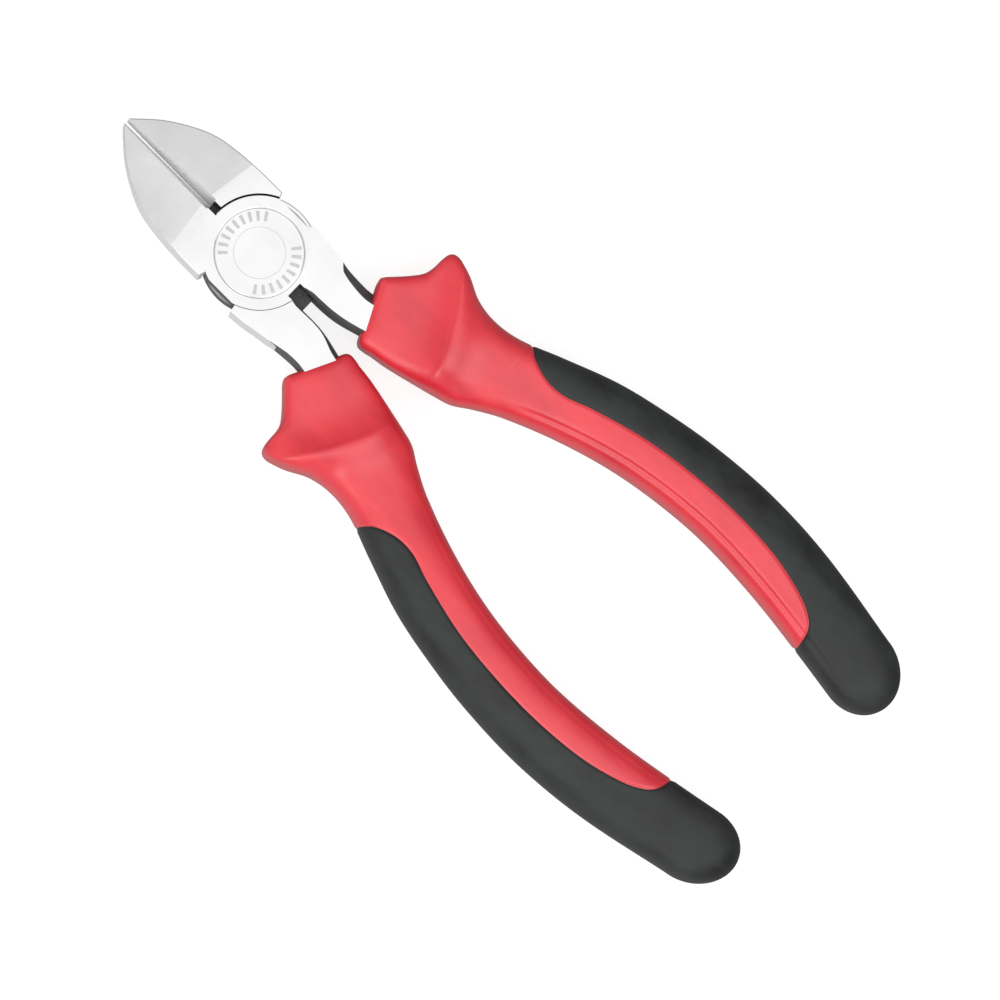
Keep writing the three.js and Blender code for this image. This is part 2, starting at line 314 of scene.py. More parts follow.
class Surface:
    """A principled material in the making, with short ways to add its texture nodes."""

    def __init__(self, name, color, roughness, metallic=0.0, specular=0.5):
        self.material = bpy.data.materials.new(name)
        self.material.use_nodes = True
        self.nodes = self.material.node_tree.nodes
        self.links = self.material.node_tree.links
        self.shader = self.nodes["Principled BSDF"]
        self.shader.inputs["Base Color"].default_value = (*color, 1)
        self.shader.inputs["Roughness"].default_value = roughness
        self.shader.inputs["Metallic"].default_value = metallic
        self.shader.inputs["Specular IOR Level"].default_value = specular
        self.place = self.nodes.new("ShaderNodeTexCoord").outputs["Object"]
        self.normal = None

    def add(self, kind, settings, **inputs):
        node = self.nodes.new(kind)
        for key, value in settings.items():
            setattr(node, key, value)
        for key, value in inputs.items():
            socket = node.inputs[key.replace("_", " ")]
            if isinstance(value, bpy.types.NodeSocket):
                self.links.new(value, socket)
            else:
                socket.default_value = value
        return node

    def stretched(self, size, turn=0.0):
        """Coordinates in which one unit is the given size in millimetres along each axis."""
        scale = [1 / (MM * length) for length in size]
        spin = self.add("ShaderNodeMapping", {}, Vector=self.place, Rotation=(0, 0, turn))
        return self.add("ShaderNodeMapping", {}, Vector=spin.outputs[0], Scale=scale).outputs[0]

    def noise(self, size, turn=0.0, detail=3.0, roughness=0.5):
        place = self.stretched(size, turn)
        node = self.add("ShaderNodeTexNoise", {}, Vector=place, Scale=1.0, Detail=detail,
                        Roughness=roughness)
        return node.outputs["Fac"]

    def rings(self, pitch):
        """Fine circles round the pivot axis, as turning leaves, and the distance from the axis."""
        flat = self.add("ShaderNodeMapping", {}, Vector=self.place, Scale=(1, 1, 0))
        radius = self.add("ShaderNodeVectorMath", {"operation": "LENGTH"})
        self.links.new(flat.outputs[0], radius.inputs[0])
        count = self.math("MULTIPLY", radius.outputs["Value"], 2 * math.pi / (MM * pitch))
        return self.math("SINE", count), radius.outputs["Value"]

    def math(self, operation, first, second=0.0):
        node = self.add("ShaderNodeMath", {"operation": operation})
        for socket, value in zip(node.inputs, (first, second)):
            if isinstance(value, bpy.types.NodeSocket):
                self.links.new(value, socket)
            else:
                socket.default_value = value
        return node.outputs[0]

    def spread(self, value, low, high, start=0.3, end=0.7):
        """Maps a texture's start to end onto low to high."""
        node = self.add("ShaderNodeMapRange", {}, Value=value)
        node.inputs["From Min"].default_value = start
        node.inputs["From Max"].default_value = end
        node.inputs["To Min"].default_value = low
        node.inputs["To Max"].default_value = high
        return node.outputs["Result"]

    def tint(self, value, dark, light):
        """Runs the base colour from dark to light with a texture."""
        node = self.add("ShaderNodeMix", {"data_type": "RGBA"})
        self.links.new(value, node.inputs["Factor"])
        node.inputs[6].default_value = (*dark, 1)
        node.inputs[7].default_value = (*light, 1)
        self.links.new(node.outputs[2], self.shader.inputs["Base Color"])

    def shine(self, value, low, high):
        self.links.new(self.spread(value, low, high), self.shader.inputs["Roughness"])

    def bump(self, height, depth):
        """Adds relief of the given depth in millimetres on top of what is there already."""
        node = self.add("ShaderNodeBump", {}, Height=height, Strength=1.0, Distance=depth * MM)
        if self.normal:
            self.links.new(self.normal, node.inputs["Normal"])
        self.normal = node.outputs["Normal"]
        self.links.new(self.normal, self.shader.inputs["Normal"])


def polished_steel():
    """Bright ground and buffed faces, with fine lines along the tool and turned rings."""
    made = Surface("steel_polished", (0.62, 0.62, 0.62), 0.2, 1)
    cloud = made.noise((9, 9, 9))
    made.tint(made.spread(cloud, 0, 1), (0.585, 0.585, 0.585), (0.64, 0.64, 0.64))
    lines = made.noise((6, 0.09, 0.3), detail=2)
    made.shine(lines, 0.14, 0.3)
    made.bump(lines, 0.003)
    ring, radius = made.rings(0.42)
    within = made.spread(radius, 1, 0, LAP_RADIUS * 0.45 * MM, LAP_RADIUS * 0.8 * MM)
    made.bump(made.math("MULTIPLY", ring, within), 0.0012)
    return made.material


def ground_steel():
    """The jaws' facets: satin, with grinding lines across them."""
    made = Surface("steel_ground", (0.5, 0.5, 0.5), 0.36, 1)
    cloud = made.noise((5, 5, 5))
    made.tint(made.spread(cloud, 0, 1), (0.54, 0.54, 0.54), (0.59, 0.59, 0.59))
    lines = made.noise((0.07, 5, 1), math.radians(12), detail=2)
    made.shine(lines, 0.3, 0.44)
    made.bump(lines, 0.006)
    return made.material


def matt_steel():
    """The cutting bevels and ground side walls: matt, with fine lines along their length."""
    made = Surface("steel_matt", (0.85, 0.85, 0.85), 0.45, 0.35)
    lines = made.noise((4, 0.5, 0.08), detail=2)
    made.tint(made.spread(lines, 0, 1), (0.8, 0.8, 0.8), (0.92, 0.92, 0.92))
    made.shine(lines, 0.38, 0.52)
    made.bump(lines, 0.004)
    return made.material


def forged_steel():
    """Unground forging: dark scale with a fine uneven skin."""
    made = Surface("steel_forged", (0.12, 0.125, 0.12), 0.55, 0.35, 0.3)
    made.shader.inputs["Specular Tint"].default_value = (0.45, 0.45, 0.45, 1)
    skin = made.noise((0.7, 0.7, 0.7), detail=5, roughness=0.6)
    made.tint(made.spread(skin, 0, 1), (0.075, 0.08, 0.078), (0.15, 0.155, 0.15))
    made.shine(skin, 0.45, 0.65)
    made.bump(skin, 0.05)
    return made.material


def etched_steel():
    """The floor of the sunk marks: a fine matt etch."""
    made = Surface("steel_etched", (0.45, 0.45, 0.45), 0.45, 1)
    grain = made.noise((0.12, 0.12, 0.12), detail=2)
    made.tint(made.spread(grain, 0, 1), (0.4, 0.4, 0.4), (0.5, 0.5, 0.5))
    made.bump(grain, 0.01)
    return made.material


def red_plastic():
    """Hard satin moulding with a faint flow pattern and a fine spark-eroded texture."""
    made = Surface("red_plastic", (0.7, 0.036, 0.05), 0.4, 0, 0.6)
    flow = made.noise((14, 5, 5), detail=3)
    made.tint(made.spread(flow, 0, 1), (0.59, 0.02, 0.036), (0.74, 0.035, 0.05))
    grain = made.noise((0.22, 0.22, 0.22), detail=2)
    made.shine(flow, 0.3, 0.4)
    made.bump(grain, 0.012)
    made.bump(flow, 0.12)
    return made.material


def black_plastic():
    """Soft matt overlay with an open fine grain and a little handling polish."""
    made = Surface("black_soft_plastic", (0.016, 0.017, 0.017), 0.6, 0, 0.35)
    rub = made.noise((9, 5, 5), detail=5, roughness=0.6)
    made.tint(made.spread(rub, 0, 1), (0.007, 0.0075, 0.0075), (0.03, 0.032, 0.032))
    grain = made.noise((0.3, 0.3, 0.3), detail=3)
    made.shine(rub, 0.46, 0.68)
    made.bump(grain, 0.03)
    made.bump(rub, 0.12)
    return made.material


STEELS = [polished_steel(), ground_steel(), matt_steel(), forged_steel(), etched_steel()]
RED = [red_plastic()]
BLACK = [black_plastic()]


# ---------------------------------------------------------------- solids

def new_object(name, data):
    thing = bpy.data.objects.new(name, data)
    bpy.context.scene.collection.objects.link(thing)
    return thing


def from_bmesh(name, bm, materials):
    bmesh.ops.recalc_face_normals(bm, faces=bm.faces)
    mesh = bpy.data.meshes.new(name)
    bm.to_mesh(mesh)
    bm.free()
    for made in materials:
        mesh.materials.append(made)
    return new_object(name, mesh)


def bridge(bm, low, high, slot):
    """Side faces between two matching closed loops of vertices."""
    for i in range(len(low)):
        j = (i + 1) % len(low)
        bm.faces.new((low[i], low[j], high[j], high[i])).material_index = slot


def stack(loops, side_slot, end_slot=None):
    """A closed solid through matching loops of 3-D points, flat at its two ends."""
    bm = bmesh.new()
    rings = [[bm.verts.new(p) for p in loop] for loop in loops]
    for low, high in zip(rings, rings[1:]):
        bridge(bm, low, high, side_slot)
    for ring in (rings[0], rings[-1]):
        bm.faces.new(ring).material_index = side_slot if end_slot is None else end_slot
    return from_bmesh("solid", bm, STEELS)


def plate(outline, bottom, top, side_slot=FORGED, end_slot=POLISHED):
    """A plan outline of (x, y) points, extruded between two heights."""
    loops = [[(x, y, z) for x, y in outline] for z in (bottom, top)]
    return stack(loops, side_slot, end_slot)


def turned(profile, side_slot, end_slot):
    """A profile of (radius, z) points turned about the pivot axis, flat at its two ends."""
    return stack([circle(radius, z) for radius, z in profile], side_slot, end_slot)


def disc(radius, bottom, top):
    return turned([(radius, bottom), (radius, top)], FORGED, POLISHED)


def evaluated(thing):
    """The object with its modifiers applied to its mesh."""
    graph = bpy.context.evaluated_depsgraph_get()
    mesh = bpy.data.meshes.new_from_object(thing.evaluated_get(graph))
    thing.modifiers.clear()
    thing.data = mesh
    return thing


def combine(target, other, operation):
    """Cuts the other solid out of the target or joins it on, and uses the other one up."""
    cut = target.modifiers.new("cut", "BOOLEAN")
    cut.operation = operation
    cut.object = other
    cut.solver = "MANIFOLD"
    evaluated(target)
    bpy.data.objects.remove(other)
    return target


def rounded(thing, width, chosen):
    """Rounds the sharp edges whose two ends both satisfy the chosen test."""
    bm = bmesh.new()
    bm.from_mesh(thing.data)
    weight = bm.edges.layers.float.new("bevel_weight_edge")
    for edge in bm.edges:
        sharp = edge.calc_face_angle(0) > math.radians(40)
        if sharp and all(chosen(vertex.co) for vertex in edge.verts):
            edge[weight] = 1.0
    bm.to_mesh(thing.data)
    bm.free()
    edges = thing.modifiers.new("edges", "BEVEL")
    edges.limit_method = "WEIGHT"
    edges.width = width
    edges.segments = 6
    return evaluated(thing)


def moved(thing, matrix):
    thing.data.transform(matrix)
    return thing


def handle_place(side):
    """The left handle's place (side 1), or the right one's: turned over about the tool's axis."""
    over = Matrix.Rotation(0 if side > 0 else math.pi, 4, "X")
    return Matrix.Translation((0, HANDLE_OFFSET, 0)) @ Matrix.Rotation(HANDLE_SKEW, 4, "Z") @ over


# ---------------------------------------------------------------- levers

def jaw(side):
    """A jaw at full thickness, with its ground facets and cutting bevels."""
    outer = [(x, jaw_edge(x)) for x in steps(JAW_SHOULDER[0], TIP_X, 60)]
    inner = [(TIP_X, WEB_GAP), (LAP_RADIUS / 2, WEB_GAP), (LAP_RADIUS / 4, LAP_RADIUS / 4)]
    solid = plate([(x, side * y) for x, y in outer + inner], -HALF, HALF)
    for face in solid.data.polygons:
        if abs(face.normal.z) < 0.5 and (abs(face.center.y) > 1 or face.normal.x > 0.5):
            face.material_index = MATT
    for face in (1, -1):
        combine(solid, facet_cut(side, face), "DIFFERENCE")
    rounded(solid, EDGE_ROUND, lambda p: abs(p.z) > 1 and abs(p.y) > 0.5)
    for face in (1, -1):
        combine(solid, relief_cut(side, face), "DIFFERENCE")
    return combine(solid, bevel_cut(side), "DIFFERENCE")


def facet_cut(side, face):
    """What grinding takes off one face of a jaw, sloping to the tip and a little outwards."""
    def height(x, y):
        return HALF - FACET_DROP * (x - FACET_START + FACET_SKEW * (y - FACET_START_AT))

    near, far, inside, outside = FACET_START - 6, TIP_X + 2, -1, 13
    corners = [(near, inside), (far, inside), (far, outside), (near, outside)]
    lower = [(x, side * y, face * height(x, y)) for x, y in corners]
    upper = [(x, side * y, face * 3 * HALF) for x, y in corners]
    return stack([lower, upper], GROUND)


def relief_cut(side, face):
    """The pocket between the cutting edges and the joint, sunk from one face to a thin web."""
    near, far = side * -1.0, side * RELIEF_WIDTH
    outline = [(LAP_RADIUS / 2, near), (RELIEF_END, near), (RELIEF_END, far), (LAP_RADIUS / 2, far)]
    return plate(outline, face * RELIEF_WEB, face * 2 * HALF, FORGED, FORGED)


def bevel_cut(side):
    """What grinding takes off a jaw's inner side: the cutting edges part a little to the tip."""
    rise = 2 * HALF
    loops = []
    for x, gap in ((RELIEF_END, EDGE_GAP), (TIP_X, TIP_GAP)):
        wide = gap + BEVEL_SLOPE * rise
        section = [(-1, -rise), (wide, -rise), (gap, -EDGE_LAND), (gap, EDGE_LAND),
                   (wide, rise), (-1, rise)]
        loops.append([(x, side * y, z) for y, z in section])
    beyond = [(x + 1, y, z) for x, y, z in loops[-1]]
    return stack(loops + [beyond], MATT)


def arm(side, grow=0.0):
    """An arm and its tang with sloped flanks, or grown all round as the room for it in a grip."""
    full = HALF + grow
    stations = steps(ARM_SHOULDER[0], SLIT_START, 8) + steps(SLIT_START, TANG_END, 120)[1:]
    outer = [(-s, arm_outer(s) + grow) for s in stations]
    inner = [(-s, arm_inner(s) - grow) for s in stations if s >= SLIT_START]
    solid = plate([(-LAP_RADIUS / 4, LAP_RADIUS / 2)] + outer + inner[::-1], -full, full)
    for face in solid.data.polygons:
        worked = face.normal.y > 0.5 and face.center.x > -BARE_FROM
        if abs(face.normal.z) < 0.5 and worked:
            face.material_index = MATT
    if not grow:
        rounded(solid, EDGE_ROUND, lambda p: abs(p.z) > 1 and p.x > -ROUNDED_TO)
    for face in (1, -1):
        combine(solid, thinning_cut(face, grow), "DIFFERENCE")
        combine(solid, flank_cut(arm_outer, 1, face, OUTER_FLANKS[face], grow), "DIFFERENCE")
        combine(solid, flank_cut(arm_inner, -1, face, INNER_FLANKS[face], grow), "DIFFERENCE")
    return moved(solid, handle_place(side))


def thinning_cut(face, grow):
    """What thins the bar inside the grip, from its full thickness down to the tang."""
    full, thin, beyond = HALF + grow, TANG_HALF + grow, -TANG_END - 2
    side = [(-THINNING_START, full), (-THINNING_END, thin), (beyond, thin), (beyond, 2 * HALF),
            (-THINNING_START, 2 * HALF)]
    return stack([[(x, y, face * z) for x, z in side] for y in (-2, 40)], FORGED)


def flank_cut(edge, out, face, widths, grow):
    """What slopes a flank along one edge of the arm, its width running through the knots given."""
    width = through(widths)
    top = HALF + grow
    loops = []
    for s in steps(widths[0][0], FLANK_END, 44):
        wide = width(s) + 0.02
        fall = top - FLANK_SLOPE * (wide + FLANK_SPARE)
        section = [(-wide, top), (FLANK_SPARE, fall), (3, fall), (3, top + 2), (-wide, top + 2)]
        b = edge(s) + out * grow
        loops.append([(-s, b + out * y, face * z) for y, z in section])
    return stack(loops, FORGED)


def slit():
    ends = [(-SLIT_START, -SLIT_WIDTH), (-SLIT_START, SLIT_WIDTH),
            (-2 * SLIT_START, SLIT_WIDTH), (-2 * SLIT_START, -SLIT_WIDTH)]
    return moved(plate(ends, -3 * HALF, 3 * HALF, FORGED, FORGED), handle_place(1))


def closing_stop(top):
    """A lug on the left arm that crosses the back of the slit."""
    near, far, root = STOP_GAP - SLIT_WIDTH, 2 * SLIT_WIDTH, 0.5 - SLIT_START
    outline = [(-STOP_END, near), (root, near), (root, far), (-STOP_END, far)]
    return moved(plate(outline, -HALF, top, FORGED, FORGED), handle_place(1))


def arc(radius, start, end, count):
    return [(radius * math.cos(a), radius * math.sin(a)) for a in steps(start, end, count)]


def ledge(start, end, root, finish):
    """Part of the rear lap that reaches out past the front one, between two angles."""
    outline = arc(LEDGE_RADIUS, start, end, 24) + [root]
    solid = plate(outline, -HALF, -LAP_GAP / 2, FORGED, finish)
    return rounded(solid, EDGE_ROUND, lambda p: p.xy.length > LEDGE_RADIUS - 0.1)


def rivet_bore():
    head = RIVET_HEAD + RIVET_LINE
    neck = RIVET_NECK + RIVET_LINE
    deep = HALF - RIVET_DEPTH
    return turned([(head, -HALF - 1), (head, -HALF), (neck, -deep), (neck, deep), (head, HALF),
                   (head, HALF + 1)], ETCHED, ETCHED)


def boss_marks():
    """Short radial bars in two arcs, to be sunk into the front boss."""
    (foot, narrow), (head, wide) = MARK_FOOT, MARK_HEAD
    bar = [(foot, -narrow), (head, -wide), (head, wide), (foot, narrow)]
    marks = None
    for middle, spread in MARK_ARCS:
        for turn in steps(middle - spread, middle + spread, MARKS_PER_ARC - 1):
            one = plate(bar, HALF - MARK_DEPTH, HALF + 1, ETCHED, ETCHED)
            moved(one, Matrix.Rotation(math.radians(turn), 4, "Z"))
            marks = combine(marks, one, "UNION") if marks else one
    return marks


def lap(outline, bottom, top, outside):
    """A lap from its plan outline: its inner face is dull, and its edges are rounded outside."""
    solid = plate(outline, bottom, top)
    for face in solid.data.polygons:
        if abs(face.center.z) < LAP_GAP:
            face.material_index = ETCHED
    return rounded(solid, EDGE_ROUND, lambda p: p.z == outside)


def ring_groove(face):
    """A shallow turned groove round the pivot, to be cut from one face."""
    half = RING_WIDTH / 2
    section = [(RING_RADIUS - half, HALF + 1), (RING_RADIUS - half, HALF),
               (RING_RADIUS, HALF - RING_DEPTH), (RING_RADIUS + half, HALF),
               (RING_RADIUS + half, HALF + 1)]
    bm = bmesh.new()
    rings = [[bm.verts.new(p) for p in circle(r, face * z)] for r, z in section]
    for ring, other in zip(rings, rings[1:] + rings[:1]):
        bridge(bm, ring, other, POLISHED)
    return from_bmesh("groove", bm, STEELS)


def front_lever():
    """The lever whose lap is in front: the left jaw and the right arm."""
    low = LAP_GAP / 2
    left, right = math.asin(LAP_FLAT / LAP_RADIUS), math.asin(LAP_FLAT_RIGHT / LAP_RADIUS)
    outline = arc(LAP_RADIUS, -right, left, 60)
    outline += arc(LAP_RADIUS, math.pi - left, math.pi + right, 60)
    solid = lap(outline, low, HALF, HALF)
    combine(solid, slit(), "DIFFERENCE")
    jaw_pocket = disc(LAP_RADIUS + JAW_SHOULDER_GAP, -3 * HALF, low)
    arm_pocket = disc(LEDGE_RADIUS + ARM_SHOULDER_GAP, -3 * HALF, low)
    combine(solid, combine(jaw(1), jaw_pocket, "DIFFERENCE"), "UNION")
    combine(solid, combine(arm(-1), arm_pocket, "DIFFERENCE"), "UNION")
    combine(solid, rivet_bore(), "DIFFERENCE")
    combine(solid, ring_groove(1), "DIFFERENCE")
    return combine(solid, boss_marks(), "DIFFERENCE")


def rear_lever():
    """The lever whose lap is behind, with a ledge on the right and a stop lug in the slit."""
    high = -LAP_GAP / 2
    start = math.atan2(-JAW_SHOULDER[1], JAW_SHOULDER[0])
    end = math.atan2(-ARM_SHOULDER[1], -ARM_SHOULDER[0])
    solid = lap(arc(LAP_RADIUS, 0, 2 * math.pi, ROUND)[:-1], -HALF, high, -HALF)
    combine(solid, slit(), "DIFFERENCE")
    combine(solid, ledge(start, end, (0, -RIVET_NECK), POLISHED), "UNION")
    tab_root = (1 - SLIT_START, -SLIT_WIDTH)
    combine(solid, ledge(SLIT_TAB_START, SLIT_TAB_END, tab_root, FORGED), "UNION")
    for piece, gap in ((jaw(-1), JAW_SHOULDER_GAP), (arm(1), ARM_SHOULDER_GAP)):
        combine(piece, disc(LAP_RADIUS + gap, high, 3 * HALF), "DIFFERENCE")
        combine(solid, piece, "UNION")
    combine(solid, closing_stop(high), "UNION")
    combine(solid, rivet_bore(), "DIFFERENCE")
    return combine(solid, ring_groove(-1), "DIFFERENCE")


def pivot_rivet():
    head, deep, lip = RIVET_HEAD, HALF - RIVET_DEPTH, RIVET_LIP
    return turned([(head - lip, -HALF), (head, -HALF + lip), (RIVET_NECK, -deep),
                   (RIVET_NECK, deep), (head, HALF - lip), (head - lip, HALF)], FORGED, POLISHED)


# ---------------------------------------------------------------- grips

def swell(x, height, rise, fall):
    """A height that comes in smoothly over one span of x and goes out over another."""
    return height * smooth(*rise, x) * (1 - smooth(*fall, x))


def middle_line(s):
    return (grip_outer(s) + grip_inner(s)) / 2


def grip_height(s, b):
    """Half the grip's thickness over a point of its plan: the guard's crest is steep in front."""
    ahead = crest(b) - s
    if ahead > 0:
        left = 1 - min(ahead / FRONT_SLOPE, 1)
        ridge = CREST_RISE - FRONT_FALL * (1 - left * left) * smooth(0, CREST_TOP, ahead)
    else:
        ridge = CREST_RISE * bell(ahead, CREST_BACK)
    lean = swell(s, NECK_LEAN, LEAN_IN, LEAN_OUT) * (b - middle_line(s))
    return grip_half(s) + ridge + lean


def side_ring(s):
    """A ring across the grip: its outer and inner rim points, and the hub that it crowns over."""
    blend = smooth(FAN_END, HUB_FADE, s)
    hub = middle_line(s) * blend + FRONT_HUB[1] * (1 - blend)
    return (s, grip_outer(s)), (s, grip_inner(s)), (s, hub)


def front_rings():
    """Rings that fan round the guard's front, from its front point back to its two sides."""
    outer = along([
        (FAN_END, 23.9), (25.1, 24.0), (24.2, 23.75), (23.65, 23.0), (23.45, 21.6), (23.35, 19.6),
        (22.9, 17.9), (21.5, 16.0), (19.6, 13.9), (18.5, 12.75), FRONT_POINT,
    ], FAN_STEPS)
    inner = along([
        (FAN_END, 1.5), (24.6, 1.2), (23.4, 1.15), (22.7, 1.6), (22.15, 2.6), (21.3, 4.4), (20.0, 7.2),
        (18.8, 9.8), (18.15, 11.2), FRONT_POINT,
    ], FAN_STEPS)
    return [(o, i, FRONT_HUB) for o, i in zip(outer[::-1], inner[::-1])][:-1]


def cap_rings():
    """Rings that close the rounded end, drifting in as they shrink."""
    outer, inner = grip_outer(CAP_START), grip_inner(CAP_START)
    middle, half = (outer + inner) / 2, (outer - inner) / 2
    rings = []
    for turn in steps(0, math.pi / 2, CAP_STEPS)[1:]:
        s = CAP_START + CAP_LENGTH * math.sin(turn)
        centre = middle - CAP_DRIFT * math.sin(turn)
        wide = half * math.cos(turn)
        rings.append(((s, centre + wide), (s, centre - wide), (CAP_START, middle)))
    return rings


def seam_stations():
    """Stations along the seam, closer together where it turns across the grip."""
    longest, shortest, most_turn = 0.75, 0.03, 0.08
    stations = [SEAM_START]
    while stations[-1] < SEAM_TAIL:
        s, step = stations[-1], longest
        turn = seam_turn(side_ring(s))
        while step > shortest and abs(seam_turn(side_ring(s + step)) - turn) > most_turn:
            step /= 2
        stations.append(min(s + step, SEAM_TAIL))
    return stations


def ring_point(ring, turn, inset):
    """A point of a ring at an angle from 0, outermost, over the top to pi, innermost."""
    outer, inner, hub = ring
    rim = outer if turn < math.pi / 2 else inner
    c, s = abs(math.cos(turn)), abs(math.sin(turn))
    power = SECTION_POWER + FRONT_SQUARE * (1 - smooth(FAN_END, SQUARE_FADE, outer[0]))
    if turn < math.pi / 2:
        power -= swell(outer[0], OUTER_ROLL, ROLL_IN, ROLL_OUT)
    out = (c ** power + s ** power) ** (-1 / power)
    reach = max(math.dist(rim, hub), 0.001)
    scale = c * out * max(reach - inset, 0.0) / reach
    x = hub[0] + (rim[0] - hub[0]) * scale
    y = hub[1] + (rim[1] - hub[1]) * scale
    return x, y, s * out * (grip_height(x, y) - inset)


def seam_turn(ring):
    """The angle at which a ring meets the seam: 0 ahead of it, pi behind its tail."""
    s = ring[0][0]
    if s <= SEAM_START:
        return 0.0
    if s >= SEAM_TAIL:
        return math.pi
    low, high = 0.0, LAST_TURN
    for _ in range(30):
        middle = (low + high) / 2
        if ring_point(ring, middle, 0)[1] > seam(s):
            low = middle
        else:
            high = middle
    return low


def seam_finder():
    """A search tree of the seam's line in plan, over the width of the grip."""
    points = []
    for s in steps(SEAM_START, SEAM_TAIL, SEAM_POINTS):
        if grip_inner(s) - 0.1 < seam(s) < grip_outer(s) + 0.1:
            points.append((s, seam(s), 0))
    tree = KDTree(len(points))
    for i, point in enumerate(points):
        tree.insert(point, i)
    tree.balance()
    return tree


SEAM_TREE = seam_finder()


def edge_line(s, q):
    """Profile of the line moulded along the inner edge of both faces, q in from the rim."""
    return swell(s, 1.0, LINE_IN, LINE_OUT) * bell(q - LINE_PLACE, LINE_SPREAD)


def skin_point(ring, turn, side):
    """A point of the outer skin, dipping at the seam and along the inner edge line."""
    x, y, _ = ring_point(ring, turn, 0)
    gap = SEAM_TREE.find((x, y, 0))[2]
    inset = SEAM_DIP * bell(gap, SEAM_SPREAD)
    if turn > math.pi / 2:
        inset += EDGE_LINES[side] * edge_line(x, math.dist((x, y), ring[1]))
    return ring_point(ring, turn, inset)


def bed(seam_at):
    """How deep the overlay is let into the sleeve, on a ring that meets the seam at an angle."""
    return BED_START + (OVERLAY_DEPTH - BED_START) * smooth(0, BED_TURN, seam_at)


def towards_seam(first, seam_at, crowding):
    """Angles from one side to the seam, evenly spaced if crowding is 1, or closer as they near it."""
    return [seam_at + (first - seam_at) * (1 - t) ** crowding for t in steps(0, 1, SKIN_STEPS)]


def over_and_under(points):
    """A loop over the top through the points given, and back underneath through their mirrors."""
    loop = points + [(x, y, -z) for x, y, z in points[::-1]]
    return [(-s, b, z) for s, b, z in loop]


def weld(bm):
    bmesh.ops.remove_doubles(bm, verts=bm.verts, dist=WELD)
    bmesh.ops.dissolve_degenerate(bm, edges=bm.edges, dist=WELD)


def grip_sleeve(side):
    """The sleeve: outer skin up to the seam, a bed for the overlay, and room for the arm."""
    rings = front_rings() + [side_ring(s) for s in steps(FAN_END, SEAM_START, NECK_STEPS)[:-1]]
    covered = [side_ring(s) for s in seam_stations()]
    behind = [side_ring(s) for s in steps(SEAM_TAIL, CAP_START, 12)] + cap_rings()
    loops = []
    for ring in rings + covered:
        at = min(seam_turn(ring), LAST_TURN)
        crowding = 1 + (CROWDING - 1) * smooth(FAN_END, SEAM_START, ring[0][0])
        skin = [skin_point(ring, turn, side) for turn in towards_seam(math.pi, at, crowding)]
        if at > 0:
            core = [ring_point(ring, turn, bed(at)) for turn in steps(at, 0, CORE_STEPS)]
        else:
            core = [skin[-1]] * (CORE_STEPS + 1)
        loops.append(over_and_under(skin + core))
    for ring in behind:
        turns = [math.pi] * (SKIN_STEPS + 1) + steps(math.pi, 0, CORE_STEPS)
        loops.append(over_and_under([ring_point(ring, turn, OVERLAY_DEPTH) for turn in turns]))
    bm = bmesh.new()
    grid = [[bm.verts.new(p) for p in loop] for loop in loops]
    for low, high in zip(grid, grid[1:]):
        bridge(bm, low, high, 0)
    weld(bm)
    sleeve = moved(from_bmesh("sleeve", bm, RED), handle_place(side))
    return combine(sleeve, arm(side, MOUTH_GAP), "DIFFERENCE")


def grip_overlay(side):
    """The overlay: an outer skin and a liner, joined along the seam."""
    rings = [side_ring(s) for s in seam_stations()]
    rings += [side_ring(s) for s in steps(SEAM_TAIL, CAP_START, 16)[1:]] + cap_rings()
    bm = bmesh.new()
    skins, liners = [], []
    for ring in rings:
        at = seam_turn(ring)
        crowding = CROWDING - (CROWDING - 1) * smooth(SEAM_TAIL, CAP_START, ring[0][0])
        skin = [skin_point(ring, turn, side) for turn in towards_seam(0, at, crowding)]
        deep = bed(at) - OVERLAY_GAP
        liner = [ring_point(ring, turn, deep) for turn in steps(0, at, LINER_STEPS)]
        skins.append([bm.verts.new(p) for p in over_and_under(skin[::-1])])
        liners.append([bm.verts.new(p) for p in over_and_under(liner[::-1])])
    for grid in (skins, liners):
        for low, high in zip(grid, grid[1:]):
            for i in range(len(low) - 1):
                bm.faces.new((low[i], low[i + 1], high[i + 1], high[i]))
    for k in range(len(rings) - 1):
        if seam_turn(rings[k]) < math.pi:
            for end in (0, -1):
                bm.faces.new((skins[k][end], skins[k + 1][end], liners[k + 1][end], liners[k][end]))
    weld(bm)
    return moved(from_bmesh("overlay", bm, BLACK), handle_place(side))


def merge_flat_faces(thing):
    """Joins the slivers that the cuts leave within one flat face."""
    bm = bmesh.new()
    bm.from_mesh(thing.data)
    bmesh.ops.remove_doubles(bm, verts=bm.verts, dist=0.003)
    bmesh.ops.dissolve_limit(bm, angle_limit=math.radians(0.3), verts=bm.verts, edges=bm.edges,
                             delimit={"MATERIAL"})
    bm.to_mesh(thing.data)
    bm.free()


def finish_piece(thing, name, node, body, steel=False):
    """Moves a piece into the frame in metres, and gives it its name and shading."""
    thing.name = name
    if steel:
        merge_flat_faces(thing)
    for face in thing.data.polygons:
        face.use_smooth = True
    thing.data.set_sharp_from_angle(angle=math.radians(STEEL_SHARP if steel else PLASTIC_SHARP))
    if steel:
        weighted = thing.modifiers.new("normals", "WEIGHTED_NORMAL")
        weighted.keep_sharp = True
        weighted.weight = 80
    moved(thing, Matrix.Translation(PIVOT) @ Matrix.Scale(MM, 4))
    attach(thing, body)
    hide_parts(node)


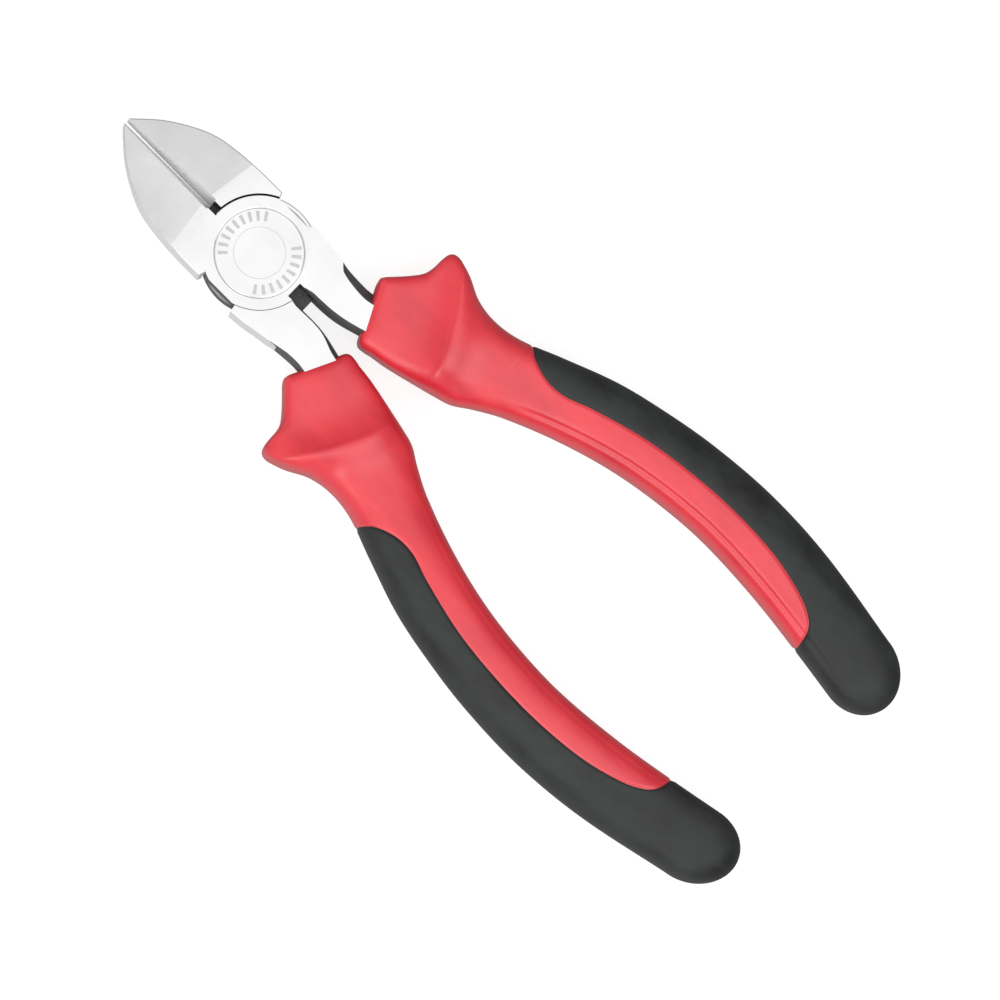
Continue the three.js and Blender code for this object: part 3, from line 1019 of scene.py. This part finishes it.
finish_piece(front_lever(), "front_lever_forging", "front_lever", "front_half",
             steel=True)
finish_piece(rear_lever(), "rear_lever_forging", "rear_lever", "rear_half",
             steel=True)
finish_piece(pivot_rivet(), "flush_rivet", "pivot_rivet", "front_half", steel=True)
for hand, side, body in (("left", 1, "rear_half"), ("right", -1, "front_half")):
    finish_piece(grip_sleeve(side), f"{hand}_sleeve_moulding", f"{hand}_grip_sleeve", body)
    finish_piece(grip_overlay(side), f"{hand}_overlay_moulding", f"{hand}_grip_overlay", body)


# ---------------------------------------------------------------- stage, light and camera

def stage():
    """A pale floor that glows a little, as a light table does, to keep shadows faint."""
    bm = bmesh.new()
    bmesh.ops.create_grid(bm, x_segments=1, y_segments=1, size=3)
    pale = Surface("floor_paint", (0.3, 0.3, 0.3), 0.8)
    grain = pale.noise((60, 60, 60))
    pale.tint(pale.spread(grain, 0, 1), (0.295, 0.295, 0.295), (0.305, 0.305, 0.305))
    pale.shader.inputs["Emission Color"].default_value = (1, 1, 1, 1)
    pale.shader.inputs["Emission Strength"].default_value = 0.8
    floor = from_bmesh("floor", bm, [pale.material])
    floor.location.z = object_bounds()[0].z
    floor.visible_diffuse = False
    floor.visible_glossy = False
    floor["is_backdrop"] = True


def studio():
    """A dome that is bright overhead and dims to the horizon, less so on the tool's left."""
    world = bpy.data.worlds.new("studio")
    bpy.context.scene.world = world
    world.use_nodes = True
    nodes, links = world.node_tree.nodes, world.node_tree.links
    place = nodes.new("ShaderNodeTexCoord")
    parts = nodes.new("ShaderNodeSeparateXYZ")
    ramp = nodes.new("ShaderNodeValToRGB")
    links.new(place.outputs["Generated"], parts.inputs[0])
    links.new(parts.outputs["Z"], ramp.inputs["Fac"])
    left = nodes.new("ShaderNodeMapRange")
    left.inputs["To Max"].default_value = DOME_LEFT
    links.new(parts.outputs["Y"], left.inputs["Value"])
    total = nodes.new("ShaderNodeMath")
    links.new(ramp.outputs["Color"], total.inputs[0])
    links.new(left.outputs["Result"], total.inputs[1])
    links.new(total.outputs[0], nodes["Background"].inputs["Color"])
    stops = ramp.color_ramp.elements
    stops.remove(stops[1])
    for position, level in DOME_LEVELS:
        stop = stops.new(position) if position else stops[0]
        stop.color = (level, level, level, 1)
    nodes["Background"].inputs["Strength"].default_value = DOME_STRENGTH


def soft_light(name, place, size, power):
    data = bpy.data.lights.new(name, "AREA")
    data.shape = "DISK"
    data.size = size
    data.energy = power
    lamp = new_object(name, data)
    lamp.location = PIVOT + Vector(place)
    lamp.rotation_euler = (PIVOT - lamp.location).to_track_quat("-Z", "Y").to_euler()


def camera():
    """A long lens almost straight above the tool, tipped a little towards its left side."""
    data = bpy.data.cameras.new("camera")
    eye = new_object("camera", data)
    data.sensor_width = 36
    data.lens = data.sensor_width * VIEW_DISTANCE / VIEW_WIDTH
    data.clip_end = 10
    target = PIVOT + Vector(VIEW_AIM)
    back = Vector((0, math.sin(VIEW_TILT), math.cos(VIEW_TILT)))
    right = Vector((1, -1, 0)).normalized().cross(back).normalized()
    up = back.cross(right)
    turn = Matrix((right, up, back)).transposed().to_4x4()
    eye.matrix_world = Matrix.Translation(target + back * VIEW_DISTANCE) @ turn
    bpy.context.scene.camera = eye


stage()
studio()
soft_light("rear", (-0.45, 0.0, 0.8), 0.6, 1.8)
soft_light("front", (0.9, 0.1, 0.2), 0.5, 0.8)
soft_light("left", (-0.15, 0.65, 0.6), 0.5, 2.0)
camera()
bpy.context.scene.view_settings.view_transform = "Standard"
